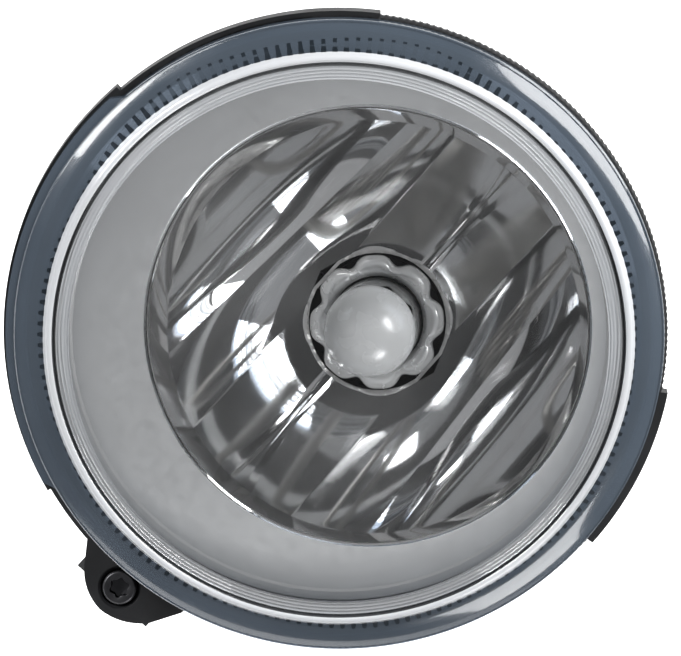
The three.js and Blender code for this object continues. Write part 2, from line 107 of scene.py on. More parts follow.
def lathe(name, profile, segments=96, place=Matrix.Identity(4), wobble=None):
    """Closed solid turned about the local Y axis from (radius, y) points.

    The profile starts and ends on the axis, or closes on itself. wobble(angle, radius, y) may give
    another (radius, y) at each angle.
    """
    on_axis = profile[0][0] == 0 and profile[-1][0] == 0
    count = len(profile)
    verts = []
    for s in range(segments):
        angle = TAU * s / segments
        for radius, y in profile:
            if wobble:
                radius, y = wobble(angle, radius, y)
            verts.append((radius * math.cos(angle), y, radius * math.sin(angle)))
    faces = []
    for s in range(segments):
        here, after = s * count, (s + 1) % segments * count
        for i in range(count - 1 if on_axis else count):
            j = (i + 1) % count
            faces.append((here + i, here + j, after + j, after + i))
    return obj_from(name, verts, faces, place)


def prism(name, outline, low, high, axis="y", place=Matrix.Identity(4)):
    """Outline extruded along Y (points in X, Z) or X (points in Y, Z)."""
    count = len(outline)
    if axis == "y":
        verts = [(a, t, b) for t in (low, high) for a, b in outline]
    else:
        verts = [(t, a, b) for t in (low, high) for a, b in outline]
    faces = [tuple(range(count)), tuple(range(count, 2 * count))]
    faces += [(i, (i + 1) % count, count + (i + 1) % count, count + i) for i in range(count)]
    return obj_from(name, verts, faces, place)


def block(name, xs, ys, zs, place=Matrix.Identity(4)):
    outline = [(xs[0], zs[0]), (xs[1], zs[0]), (xs[1], zs[1]), (xs[0], zs[1])]
    return prism(name, outline, *ys, "y", place)


def ring_profile(inner, outer, front, rear):
    return [(inner, front), (outer, front), (outer, rear), (inner, rear)]


def rod_profile(radius, front, rear):
    return [(0, front), (radius, front), (radius, rear), (0, rear)]


def arc(cx, cy, radius, start, end, steps):
    """Points on an arc, angles in degrees."""
    angles = [math.radians(start + (end - start) * i / steps) for i in range(steps + 1)]
    return [(cx + radius * math.cos(a), cy + radius * math.sin(a)) for a in angles]


def at(x=0, y=0, z=0):
    return Matrix.Translation((x, y, z))


def polar(radius, degrees):
    return radius * math.cos(math.radians(degrees)), radius * math.sin(math.radians(degrees))


def along_x(x=0, y=0, z=0, facing=1):
    """Place for a lathe whose axis runs along X, with its local Y pointing to facing * X."""
    return at(x, y, z) @ Matrix.Rotation(-facing * math.pi / 2, 4, "Z")


def remesh_from(base):
    """Replaces base's mesh by its evaluated one, modifiers applied."""
    depsgraph = bpy.context.evaluated_depsgraph_get()
    mesh = bpy.data.meshes.new_from_object(base.evaluated_get(depsgraph))
    base.modifiers.clear()
    base.data = mesh
    return base


def weld(piece, gap):
    """Merges corners closer than gap mm and drops the slivers between them."""
    bm = bmesh.new()
    bm.from_mesh(piece.data)
    bmesh.ops.remove_doubles(bm, verts=bm.verts, dist=gap * MM)
    bmesh.ops.dissolve_degenerate(bm, edges=bm.edges, dist=gap * MM * 0.5)
    bm.to_mesh(piece.data)
    bm.free()


def combined(base, others, operation):
    """base joined with, or cut by, the other solids, which are used up."""
    for other in others:
        modifier = base.modifiers.new("part", "BOOLEAN")
        modifier.operation = operation
        modifier.object = other
        modifier.solver = "EXACT"
    remesh_from(base)
    for other in others:
        bpy.data.objects.remove(other)
    weld(base, 0.006)
    return base


def fused(base, *others):
    return combined(base, others, "UNION")


def carved(base, *others):
    return combined(base, others, "DIFFERENCE")


def finish(piece, finishes, body, nodes=(), bevel=0.0, segments=2, sharp=32):
    """Rounds the edges, smooths, paints and attaches a piece. bevel is in mm."""
    if bevel:
        modifier = piece.modifiers.new("edges", "BEVEL")
        modifier.width = bevel * MM
        modifier.segments = segments
        modifier.limit_method = "ANGLE"
        modifier.angle_limit = math.radians(35)
        modifier.use_clamp_overlap = True
        remesh_from(piece)
    piece.data.shade_smooth()
    piece.data.set_sharp_from_angle(angle=math.radians(sharp))
    piece.data.materials.clear()
    for one in finishes if isinstance(finishes, (list, tuple)) else [finishes]:
        piece.data.materials.append(one)
    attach(piece, body)
    if nodes:
        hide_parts(*nodes)
    return piece


# ------------------------------------------------------------------ materials

class Shader:
    """Small wrapper for building one node material."""

    def __init__(self, name):
        self.material = bpy.data.materials.new(name)
        self.material.use_nodes = True
        self.tree = self.material.node_tree
        self.principled = self.tree.nodes["Principled BSDF"]
        self.output = self.tree.nodes["Material Output"]
        self.coords = self.tree.nodes.new("ShaderNodeTexCoord").outputs["Object"]

    def node(self, kind, **values):
        made = self.tree.nodes.new(kind)
        for key, value in values.items():
            if key in made.inputs:
                made.inputs[key].default_value = value
            else:
                setattr(made, key, value)
        return made

    def link(self, source, target):
        self.tree.links.new(source, target)

    def set(self, **values):
        for key, value in values.items():
            self.principled.inputs[key.replace("_", " ")].default_value = value

    def noise(self, scale, detail=4.0, stretch=None):
        noise = self.node("ShaderNodeTexNoise", Scale=scale, Detail=detail)
        source = self.coords
        if stretch:
            mapping = self.node("ShaderNodeMapping")
            mapping.inputs["Scale"].default_value = stretch
            self.link(source, mapping.inputs["Vector"])
            source = mapping.outputs["Vector"]
        self.link(source, noise.inputs["Vector"])
        return noise.outputs["Fac"]

    def ramp(self, factor, stops):
        ramp = self.node("ShaderNodeValToRGB")
        elements = ramp.color_ramp.elements
        while len(elements) < len(stops):
            elements.new(0.5)
        for element, (position, colour) in zip(elements, stops):
            element.position = position
            element.color = (*colour, 1)
        self.link(factor, ramp.inputs["Fac"])
        return ramp.outputs["Color"]

    def between(self, factor, low, high, source_low=0.3, source_high=0.7):
        remap = self.node("ShaderNodeMapRange")
        remap.inputs["From Min"].default_value = source_low
        remap.inputs["From Max"].default_value = source_high
        remap.inputs["To Min"].default_value = low
        remap.inputs["To Max"].default_value = high
        self.link(factor, remap.inputs["Value"])
        return remap.outputs["Result"]

    def bump(self, height, strength, distance_mm):
        bump = self.node("ShaderNodeBump", Strength=strength, Distance=distance_mm * MM)
        self.link(height, bump.inputs["Height"])
        self.link(bump.outputs["Normal"], self.principled.inputs["Normal"])

    def half_clear(self, tint, opacity):
        """Lets light straight through the surface, except for the share given by opacity."""
        through = self.node("ShaderNodeBsdfTransparent")
        through.inputs["Color"].default_value = (*tint, 1)
        mix = self.node("ShaderNodeMixShader")
        mix.inputs["Fac"].default_value = opacity
        self.link(through.outputs["BSDF"], mix.inputs[1])
        self.link(self.principled.outputs["BSDF"], mix.inputs[2])
        self.link(mix.outputs["Shader"], self.output.inputs["Surface"])


def moulded_plastic(name, dark, light, rough, grain_mm, grain_strength):
    """Textured black moulding: fine grain, slight tone and gloss variation."""
    s = Shader(name)
    broad = s.noise(60)
    fine = s.noise(1 / (grain_mm * MM), 2)
    s.link(s.ramp(broad, [(0.35, dark), (0.7, light)]), s.principled.inputs["Base Color"])
    s.link(s.between(s.noise(240), rough - 0.06, rough + 0.08), s.principled.inputs["Roughness"])
    s.bump(fine, grain_strength, 0.05)
    s.principled.inputs["Specular IOR Level"].default_value = 0.25
    return s.material


def metal(name, dark, light, rough, stretch=None, scale=900, metallic=1.0):
    """Plated or drawn metal with fine brushing along the stretched direction."""
    s = Shader(name)
    s.set(Metallic=metallic)
    grain = s.noise(scale, 5, stretch)
    s.link(s.ramp(s.noise(180), [(0.3, dark), (0.7, light)]), s.principled.inputs["Base Color"])
    s.link(s.between(grain, rough - 0.08, rough + 0.1), s.principled.inputs["Roughness"])
    s.bump(grain, 0.15, 0.02)
    return s.material


def mirror_coat():
    """Vacuum-metallised bowl: bright mirror with faint orange peel and haze."""
    s = Shader("mirror_coat")
    s.set(Metallic=0.88)
    tone = s.ramp(s.noise(90), [(0.3, (0.80, 0.79, 0.78)), (0.7, (0.88, 0.875, 0.87))])
    s.link(tone, s.principled.inputs["Base Color"])
    s.link(s.between(s.noise(160), 0.03, 0.075), s.principled.inputs["Roughness"])
    s.bump(s.noise(110, 2), 0.035, 0.1)
    return s.material


def satin_coat():
    """Metallised flat field of the reflector: satin, finely grained."""
    s = Shader("satin_coat")
    s.set(Metallic=1.0)
    tone = s.ramp(s.noise(45), [(0.3, (0.80, 0.795, 0.785)), (0.7, (0.88, 0.875, 0.865))])
    s.link(tone, s.principled.inputs["Base Color"])
    s.link(s.between(s.noise(700, 3), 0.34, 0.44), s.principled.inputs["Roughness"])
    s.bump(s.noise(5200, 2), 0.10, 0.03)
    return s.material


def clear_film(name, tint, gloss_roughness, ior):
    """Clear wall seen straight through, with a Fresnel reflection and faint moulding waves."""
    s = Shader(name)
    s.tree.nodes.remove(s.principled)
    through = s.node("ShaderNodeBsdfTransparent")
    through.inputs["Color"].default_value = (*tint, 1)
    gloss = s.node("ShaderNodeBsdfGlossy")
    gloss.inputs["Roughness"].default_value = gloss_roughness
    wave = s.node("ShaderNodeBump", Strength=0.03, Distance=0.0002)
    s.link(s.noise(35, 2), wave.inputs["Height"])
    s.link(wave.outputs["Normal"], gloss.inputs["Normal"])
    fresnel = s.node("ShaderNodeFresnel", IOR=ior)
    mix = s.node("ShaderNodeMixShader")
    s.link(fresnel.outputs["Fac"], mix.inputs["Fac"])
    s.link(through.outputs["BSDF"], mix.inputs[1])
    s.link(gloss.outputs["BSDF"], mix.inputs[2])
    s.link(mix.outputs["Shader"], s.output.inputs["Surface"])
    return s.material


def smoky_rim():
    """The lens's thick sloping band: smoky blue-grey, glossy, half seen through."""
    s = Shader("smoky_rim")
    s.set(IOR=1.49, Coat_Weight=1.0, Coat_Roughness=0.05)
    tone = s.ramp(s.noise(30), [(0.3, (0.040, 0.053, 0.069)), (0.7, (0.056, 0.072, 0.092))])
    s.link(tone, s.principled.inputs["Base Color"])
    s.link(s.between(s.noise(120), 0.12, 0.22), s.principled.inputs["Roughness"])
    s.half_clear((0.62, 0.68, 0.76), 0.62)
    return s.material


def painted_light_ring(name, tone, opacity):
    """Moulded rings at the edge of the lens face, with light painted on them: a pale tone is a
    painted highlight, a dark tone is painted shade in the crease.
    """
    s = Shader(name)
    s.set(IOR=1.49, Coat_Weight=0.6, Coat_Roughness=0.08)
    dark = (0.92 * tone, 0.94 * tone, 0.97 * tone)
    light = (tone, tone * 1.02, tone * 1.05)
    s.link(s.ramp(s.noise(60), [(0.3, dark), (0.7, light)]), s.principled.inputs["Base Color"])
    s.link(s.between(s.noise(300), 0.12, 0.22), s.principled.inputs["Roughness"])
    s.half_clear((0.9, 0.92, 0.94), opacity)
    return s.material


def coated_tip():
    """Silver-grey coating on the bulb's round tip, slightly uneven."""
    s = Shader("coated_tip")
    s.set(Metallic=0.1)
    tone = s.ramp(s.noise(160, 3), [(0.3, (0.80, 0.80, 0.79)), (0.7, (0.93, 0.93, 0.92))])
    s.link(tone, s.principled.inputs["Base Color"])
    s.link(s.between(s.noise(420), 0.20, 0.32), s.principled.inputs["Roughness"])
    s.bump(s.noise(500), 0.12, 0.06)
    return s.material


PLASTIC = moulded_plastic(
    "housing_black", (0.004, 0.0042, 0.0048), (0.009, 0.0094, 0.0105), 0.5, 0.35, 0.25)
BRACKET = moulded_plastic(
    "bracket_black", (0.014, 0.0145, 0.0155), (0.028, 0.0285, 0.030), 0.58, 0.45, 0.4)
BULB_BLACK = moulded_plastic(
    "bulb_base_black", (0.016, 0.016, 0.0165), (0.028, 0.028, 0.029), 0.5, 0.3, 0.2)
RUBBER = moulded_plastic(
    "soft_rubber", (0.008, 0.008, 0.0085), (0.016, 0.016, 0.0165), 0.78, 0.5, 0.3)
SEALANT = moulded_plastic(
    "sealant_grey", (0.018, 0.019, 0.02), (0.034, 0.035, 0.036), 0.7, 0.8, 0.5)
NYLON = moulded_plastic("natural_nylon", (0.62, 0.60, 0.53), (0.74, 0.72, 0.65), 0.5, 0.6, 0.12)
STEEL = metal("zinc_steel", (0.50, 0.50, 0.50), (0.66, 0.66, 0.65), 0.32)
BLACK_STEEL = metal("black_steel", (0.035, 0.035, 0.038), (0.07, 0.07, 0.074), 0.36)
FERRULE = metal(
    "ferrule_steel", (0.82, 0.82, 0.81), (0.93, 0.93, 0.92), 0.24, scale=320, metallic=0.45)
SERRATION = moulded_plastic(
    "serration_dark", (0.006, 0.009, 0.012), (0.014, 0.018, 0.024), 0.25, 0.4, 0.1)
BRASS = metal("contact_brass", (0.62, 0.47, 0.24), (0.74, 0.58, 0.33), 0.28, (1, 1, 0.1))
TUNGSTEN = metal("tungsten_wire", (0.34, 0.33, 0.31), (0.48, 0.46, 0.43), 0.4)
MIRROR = mirror_coat()
SATIN = satin_coat()
LENS_CLEAR = clear_film("lens_clear", (0.985, 0.99, 0.995), 0.02, 1.30)
BULB_CLEAR = clear_film("bulb_clear", (0.96, 0.965, 0.97), 0.02, 1.47)
SMOKY = smoky_rim()
# Painted light on the lens's edge rings: a painted highlight on the bead and on the ribs, and
# painted shade in the crease between them.
BEAD_PAINTED_HIGHLIGHT = painted_light_ring("painted_light_ring", 0.54, 0.62)
RIBS_PAINTED_HIGHLIGHT = painted_light_ring("ribs_painted_highlight", 0.42, 0.42)
CREASE_PAINTED_SHADE = painted_light_ring("crease_painted_shade", 0.03, 0.8)
TIP_COAT = coated_tip()


# ------------------------------------------------------------------ lens

# radii from the lens's axis
LENS_RADIUS = 45.0
BAND_FOOT = 44.6
BAND_HEAD = 40.85
BEAD_RADIUS = 40.0
FACE_EDGE = 37.2
CROWN = 5.2                # how far the face stands in front of the flange
KEY = (46.1, 174, 250)     # wider stretch of the flange: radius, from and to in degrees
SKIRT = (42.0, 43.2, 3.9)  # inner radius, outer radius, depth


def between_angles(angle, start, end, ease=1.0):
    """1 inside the stretch from start to end degrees, 0 outside, with short ramps."""
    degrees = math.degrees(angle) % 360
    inside = min(degrees - start, end - degrees)
    return min(1.0, max(0.0, inside / ease + 0.5))


def face_y(radius):
    """Outer surface of the lens's domed face."""
    return -CROWN + 2.9 * (radius / FACE_EDGE) ** 2


def band_y(radius):
    """Outer surface of the sloping band between the bead and the flange."""
    t = (radius - BAND_HEAD) / (BAND_FOOT - BAND_HEAD)
    return -1.35 + 1.3 * t - 0.3 * math.sin(math.pi * t)


def make_lens():
    steps = 26
    outer = [(FACE_EDGE * i / steps, face_y(FACE_EDGE * i / steps)) for i in range(steps + 1)]
    ribs = []
    for k in range(4):
        start = FACE_EDGE + 0.15 + 0.48 * k
        ribs += [(start + 0.06, -2.02), (start + 0.24, -2.2), (start + 0.42, -2.02)]
    bead = arc(BEAD_RADIUS - 0.05, -1.75, 0.6, 200, 345, 9)
    band = []
    for i in range(8):
        radius = BAND_HEAD + (BAND_FOOT - BAND_HEAD) * i / 8
        band.append((radius, band_y(radius)))
    edge = [(BAND_FOOT, -0.05), (44.8, -0.12), (44.95, 0.05), (LENS_RADIUS, 0.3), (45.01, 0.45)]
    edge += [(45.02, 1.7), (44.9, 1.8)]
    inner_skirt, outer_skirt, depth = SKIRT
    skirt = [(outer_skirt, 1.8), (outer_skirt, depth - 0.1), (outer_skirt - 0.1, depth)]
    skirt += [(inner_skirt + 0.1, depth), (inner_skirt, depth - 0.1), (inner_skirt, 1.8)]
    inner = [(39.5, 0.2)] + [(r, y + 2.2) for r, y in reversed(outer)]
    profile = outer + ribs + [(39.15, -1.75)] + bead + band + edge + skirt + inner

    def keyed(angle, radius, y):
        if radius > 45.005:
            radius += (KEY[0] - LENS_RADIUS) * between_angles(angle, KEY[1], KEY[2])
        return radius, y

    lens = lathe("lens_cover", profile, 360, LENS, keyed)
    finish(lens, [LENS_CLEAR, SMOKY, BEAD_PAINTED_HIGHLIGHT, RIBS_PAINTED_HIGHLIGHT, CREASE_PAINTED_SHADE], "lamp", ["lens"], sharp=24)
    # Slots for the painted highlight on the bead and ribs and for the painted shade in the crease.
    band_slot, bead_highlight_slot, ribs_highlight_slot, crease_shade_slot = 1, 2, 3, 4
    back = LENS.inverted()
    for polygon in lens.data.polygons:
        local = back @ (polygon.center / MM)
        radius = math.hypot(local.x, local.z)
        if radius > 40.7:
            polygon.material_index = band_slot
        elif radius > FACE_EDGE + 0.1 and local.y < -1.2:
            if radius > 39.6:
                polygon.material_index = bead_highlight_slot
            elif radius > 39.1:
                polygon.material_index = crease_shade_slot
            else:
                polygon.material_index = ribs_highlight_slot


def make_serration():
    """Ring of fine radial teeth moulded into the lens's band, longer at its upper left."""
    teeth, root, sunk, thick = 168, 40.75, 0.05, 0.4
    half = TAU / teeth * 0.25
    verts, faces = [], []
    for k in range(teeth):
        middle = TAU * k / teeth
        length = 0.55 + 1.5 * between_angles(middle, 100, 176, 30) + 0.3 * math.sin(7 * middle)
        start = len(verts)
        for radius, width in ((root, 1), (root + length, 0.6)):
            for side in (-1, 1):
                angle = middle + side * half * width
                surface = band_y(radius) - sunk
                for y in (surface, surface + thick):
                    verts.append((radius * math.cos(angle), y, radius * math.sin(angle)))
        faces += [[start + i for i in quad] for quad in (
            (0, 2, 6, 4), (1, 3, 7, 5), (0, 1, 3, 2), (4, 5, 7, 6), (0, 1, 5, 4), (2, 3, 7, 6))]
    comb = obj_from("lens_serration", verts, faces, LENS)
    finish(comb, SERRATION, "lamp")


def make_lens_seal():
    profile = ring_profile(41.4, 43.3, 4.2, 5.5)

    def uneven(angle, radius, y):
        return radius, y + 0.12 * math.sin(9 * angle) * (y < 5)

    seal = lathe("glue_bead", profile, 192, LENS, uneven)
    finish(seal, SEALANT, "lamp", ["lens_seal"], bevel=0.3)


# ------------------------------------------------------------------ reflector

FIELD_Y = 3.0              # the flat field, behind the lens's flange
FIELD_FLAT = 36.8          # radius where the field's rolled edge begins
MOUTH_RADIUS, MOUTH_Y = 30.5, -55.0
BOWL_RADIUS, BOWL_Y = 29.2, -42.0
NECK_RADIUS, NECK_Y = 10.4, -28.5
NECK_LIP = 9.9
BOWL_SLOPE = (BOWL_RADIUS ** 2 - NECK_RADIUS ** 2) / (NECK_Y - BOWL_Y)
LIP_DRAFT = (MOUTH_RADIUS - BOWL_RADIUS) / (BOWL_Y - MOUTH_Y)
# flutes across the bowl, from the middle out: rib, inner and outer strip, wing, with their depths
RIB = 1.1
INNER_EDGE = 9.3
WING_EDGE = 17.4
WING_LEAN = 0.072          # the wing ridges draw together towards the top
FLUTE_DEPTH = [-0.3, 0.07, 0.3, 1.5]
MIRROR_ROWS = 44
LIP_ROWS = 10
FIELD_ROWS = 8


def flute_edges(z):
    """Places across the bowl, on one side, where one flute ends and the next begins."""
    flare = 1.5 * max(0.0, (abs(z) - 17) / 11) ** 2
    return [0.0, RIB + flare, INNER_EDGE, WING_EDGE - WING_LEAN * z, BOWL_RADIUS]


def bowl_y(x, z):
    """Depth of the fluted mirror at a place across the bowl."""
    base = NECK_Y - (x * x + z * z - NECK_RADIUS ** 2) / BOWL_SLOPE
    edges = flute_edges(z)
    across = min(abs(x), BOWL_RADIUS - 1e-6)
    for k, depth in enumerate(FLUTE_DEPTH):
        if across <= edges[k + 1]:
            low = -edges[1] if k == 0 else edges[k]
            t = 2 * (across - low) / (edges[k + 1] - low) - 1
            return base + depth * (1 - t * t)
    return base


def column(side, flute, share, upward):
    """Points up or down one column of the bowl, from the neck or the middle to the lip."""
    def across(z):
        edges = flute_edges(z)
        return side * (edges[flute] + (edges[flute + 1] - edges[flute]) * share)

    def reach(radius):
        """How far up the column gets to the given radius, found by halving."""
        low, high = 0.0, radius
        if abs(across(0)) >= radius:
            return 0.0
        for _ in range(40):
            mid = (low + high) / 2
            z = mid if upward else -mid
            if math.hypot(across(z), z) < radius:
                low = mid
            else:
                high = mid
        return low

    start, end = reach(NECK_RADIUS), reach(BOWL_RADIUS)
    points = []
    for i in range(MIRROR_ROWS + 1):
        z = start + (end - start) * i / MIRROR_ROWS
        z = z if upward else -z
        x = across(z)
        points.append((x, bowl_y(x, z), z))
    return points


def in_order(points):
    """The points sorted round the beam axis, one for each direction."""
    by_angle = {round(math.atan2(z, x), 5): (x, y, z) for x, y, z in points}
    return [by_angle[angle] for angle in sorted(by_angle)]


def add_ring(verts, faces, strips):
    """Adds a closed ring of faces through equally long strips of points, in order round."""
    start, count, per = len(verts), len(strips), len(strips[0])
    for strip in strips:
        verts += strip
    for k in range(count):
        here, after = start + k * per, start + (k + 1) % count * per
        for i in range(per - 1):
            faces.append((here + i, here + i + 1, after + i + 1, after + i))


def fluted_mirror():
    """Corners and faces of the mirror in four quarters, and the points along its outer edge."""
    def eased(cuts):
        return [0.5 - 0.5 * math.cos(math.pi * i / cuts) for i in range(1, cuts + 1)]

    shares = [[0, 0.5, 1], eased(12), eased(10), eased(26)]
    verts, faces, outer_edge = [], [], []
    for upward in (True, False):
        for side in (1, -1):
            previous = None
            for flute, steps in enumerate(shares):
                for share in steps:
                    points = column(side, flute, share, upward)
                    base = len(verts)
                    verts += points
                    outer_edge.append(points[-1])
                    if previous is not None:
                        for i in range(MIRROR_ROWS):
                            faces.append((previous + i, base + i, base + i + 1, previous + i + 1))
                    previous = base
    return verts, faces, outer_edge


def lip_strip(x, y, z):
    """Points from the mirror's edge straight forward, with draft, up to the raked field."""
    plane_point = LENS @ Vector((0, FIELD_Y, 0))
    normal = (LENS.to_3x3() @ Vector((0, 1, 0))).normalized()
    angle = math.atan2(z, x)
    mouth_y = MOUTH_Y
    for _ in range(6):
        radius = BOWL_RADIUS + LIP_DRAFT * (BOWL_Y - mouth_y)
        px, pz = radius * math.cos(angle), radius * math.sin(angle)
        rise = normal.x * (px - plane_point.x) + normal.z * (pz - plane_point.z)
        mouth_y = plane_point.y - rise / normal.y
    strip = []
    for i in range(LIP_ROWS + 1):
        here = y + (mouth_y - y) * (i / LIP_ROWS)
        radius = BOWL_RADIUS + LIP_DRAFT * max(0.0, BOWL_Y - here)
        strip.append((radius * math.cos(angle), here, radius * math.sin(angle)))
    return strip


def field_strip(inner_end):
    """Points across the field: raised bead at the mouth, flat, and the rolled outer edge."""
    local = LENS.inverted() @ Vector(inner_end)
    angle, radius = math.atan2(local.z, local.x), math.hypot(local.x, local.z)
    bead = [(0.0, 0.0), (0.08, -0.22), (0.3, -0.34), (0.52, -0.22), (0.62, 0.0)]
    rolled = [(37.0, 0.0), (37.4, -0.12), (38.6, -0.12), (38.8, 0.05), (39.1, 0.05), (39.1, 1.6)]
    start = radius + bead[-1][0]
    rows = [(radius + out, dy) for out, dy in bead]
    rows += [(start + (FIELD_FLAT - start) * i / FIELD_ROWS, 0) for i in range(1, FIELD_ROWS + 1)]
    return [
        tuple(LENS @ Vector((r * math.cos(angle), FIELD_Y + dy, r * math.sin(angle))))
        for r, dy in rows + rolled
    ]


def neck_strip(x, y, z):
    """Points over the neck's edge and back along its short tube."""
    inward = NECK_LIP / NECK_RADIUS
    return [
        (x, y, z),
        (x * inward, y + 0.35, z * inward),
        (x * inward, NECK_Y + 2.2, z * inward),
    ]


def make_reflector():
    """Fluted mirror, drafted lip, raked field and neck, as one open skin without the CAD's posts."""
    verts, faces, outer_edge = fluted_mirror()
    neck_edge = [v for v in verts if abs(math.hypot(v[0], v[2]) - NECK_RADIUS) < 1e-3]
    lip = [lip_strip(*point) for point in in_order(outer_edge)]
    add_ring(verts, faces, lip)
    add_ring(verts, faces, [field_strip(strip[-1]) for strip in lip])
    add_ring(verts, faces, [neck_strip(*point) for point in in_order(neck_edge)])
    bowl = obj_from("reflector_bowl", verts, faces, gap=4e-6, sliver=1e-6)
    finish(bowl, [MIRROR, SATIN], "lamp", ["reflector"], sharp=14)
    satin_slot = 1
    back = LENS.inverted()
    for polygon in bowl.data.polygons:
        centre = polygon.center / MM
        local = back @ centre
        if math.hypot(centre.x, centre.z) > 29 and abs(local.y - FIELD_Y) < 0.16:
            polygon.material_index = satin_slot


# ------------------------------------------------------------------ housing

BOWL_GAP = 0.8             # air between the reflector's skin and the shell
SKIN = 1.6                 # reflector
WALL = 1.6                 # shell
SHOULDER = 14.0            # back of the drum, along the lens's axis
# raised stretches of the rim: from and to in degrees, radius
RIM_PADS = ((2, 32, 46.4), (125, 174, 45.8), (173, 251, 46.5), (249, 262, 46.0))
LUG_FRONT, LUG_REAR = -46.8, -40.5
SEAT = (-15.5, -12.5)      # front and rear of the plate that the bulb's three tabs turn under
TABS = (90, 210, 330)
POST_CIRCLE, POSTS = 37.0, (112, 180, 290)


def shell_radius(y):
    """Plain inside radius of the reflector: drafted lip in front, parabola behind."""
    if y <= BOWL_Y:
        return BOWL_RADIUS + LIP_DRAFT * (BOWL_Y - y)
    return math.sqrt(NECK_RADIUS ** 2 + BOWL_SLOPE * (NECK_Y - y))


def bowl_solid(name, offset, rear):
    """The bowl's inside as a solid, grown outwards by offset."""
    steps = 16
    wall = [(0, -75), (shell_radius(-75) + offset, -75)]
    for i in range(steps + 1):
        y = BOWL_Y + (NECK_Y - BOWL_Y) * i / steps
        wall.append((shell_radius(y) + offset, y + offset * i / steps))
    return lathe(name, wall + [(NECK_RADIUS + offset, rear), (0, rear)], 128)


def sector(name, inner, outer, start, end, front, rear, place):
    """Part of a ring, from start to end degrees."""
    outline = arc(0, 0, outer, start, end, 40) + arc(0, 0, inner, end, start, 40)
    return prism(name, outline, front, rear, "y", place)


def make_housing():
    def knurled(angle, radius, y):
        return radius + (0.09 * math.sin(300 * angle) if radius > 45.3 else 0), y

    drum = lathe("lamp_housing", [
        (0, 2.1), (45.2, 2.1), (45.5, 2.3), (45.5, 3.2), (44.2, 7.2), (41.1, 7.4), (41.1, 13.4),
        (40.5, SHOULDER), (0, SHOULDER)], 900, LENS, knurled)
    behind = lathe("behind", rod_profile(60, SHOULDER - WALL, 70), 96, LENS)
    shell = bowl_solid("shell", SKIN + BOWL_GAP + WALL, NECK_Y + 4)
    combined(shell, [behind], "INTERSECT")
    ears = []
    for side in (-1, 1):
        xs = sorted((side * 29.0, side * 36.6))
        outline = [(-46, -6), (TILT_Y, -6)] + arc(TILT_Y, 0, 6, -90, 90, 20)[1:] + [(-46, 6)]
        ears.append(prism("ear", outline, *xs, axis="x"))
    curve = [(-10.4, -41.5), (-10, -48.9), (-7.8, -52)]
    curve += [quadratic((-7.8, -52), (-5.6, -54.9), (SCREW.x, -55.2), i / 8) for i in range(1, 9)]
    curve += [quadratic((SCREW.x, -55.2), (1.6, -55), (4.4, -52.1), i / 8) for i in range(1, 9)]
    curve += [(6.9, -47.8), (7.4, -41.5)]
    lug = prism("lug", curve, LUG_FRONT, LUG_REAR)
    tooth_outline = [(-12.2, -44.5), (-11.9, -48.3), (-11.2, -48.3), (-10.2, -44.5)]
    tooth = prism("tooth", tooth_outline, -48.6, -45.5)
    pads = [sector("pad", 44.1, radius, a, b, 2.1, 4.5, LENS) for a, b, radius in RIM_PADS]
    collar = lathe("collar", rod_profile(17, -34, SEAT[1]), 96)
    vent = lathe("vent", rod_profile(3.4, -36, -18), 40, at(VENT.x, 0, VENT.z))
    fused(drum, shell, *ears, lug, tooth, *pads, collar, vent)

    cavity = lathe("cavity", rod_profile(39.7, 0, SHOULDER - WALL), 128, LENS)
    cutters = [cavity, bowl_solid("inner", SKIN + BOWL_GAP, NECK_Y + 3)]
    cutters.append(lathe("groove", ring_profile(41.1, 43.6, 0, 5.8), 128, LENS))
    cutters.append(lathe("bore", rod_profile(14.5, -38, SEAT[0]), 96))
    cutters.append(lathe("seat", rod_profile(9.8, SEAT[0] - 1, SEAT[1] + 1), 64))
    for angle in TABS:
        cutters.append(sector(
            "slot", 8.8, 12.3, angle - 56, angle - 24, SEAT[0] - 1, SEAT[1] + 1, Matrix()))
    screw = at(SCREW.x, 0, SCREW.z)
    cutters.append(lathe("path", rod_profile(2.7, -60, LUG_FRONT + 2.3), 48, screw))
    cutters.append(lathe("hole", rod_profile(2.2, LUG_FRONT, LUG_REAR + 1), 40, screw))
    cutters.append(lathe("chamfer", [(0, -49), (5.2, -49), (2.6, -46.3), (0, -46.3)], 48, screw))
    cutters.append(lathe("vent_bore", rod_profile(1.9, -38, -17), 32, at(VENT.x, 0, VENT.z)))
    for side in (-1, 1):
        place = along_x(0, TILT_Y, 0, side)
        cutters.append(lathe("pin_hole", rod_profile(2.7, 30.5, 38), 40, place))
    for angle in POSTS:
        x, z = polar(POST_CIRCLE, angle)
        cutters.append(lathe("screw_hole", rod_profile(1.35, 11, 15), 24, LENS @ at(x, 0, z)))
    carved(drum, *cutters)
    finish(drum, PLASTIC, "lamp", ["housing"])


def quadratic(a, b, c, t):
    """Point at share t of the curve from a to c that is pulled towards b."""
    return tuple((1 - t) ** 2 * p + 2 * t * (1 - t) * q + t * t * r for p, q, r in zip(a, b, c))


# ------------------------------------------------------------------ bulb

GLASS = 6.4                # radius
GLASS_WALL = 0.9
NECK_PETALS = 8
TAB_REACH = 13             # degrees each way from a tab's middle


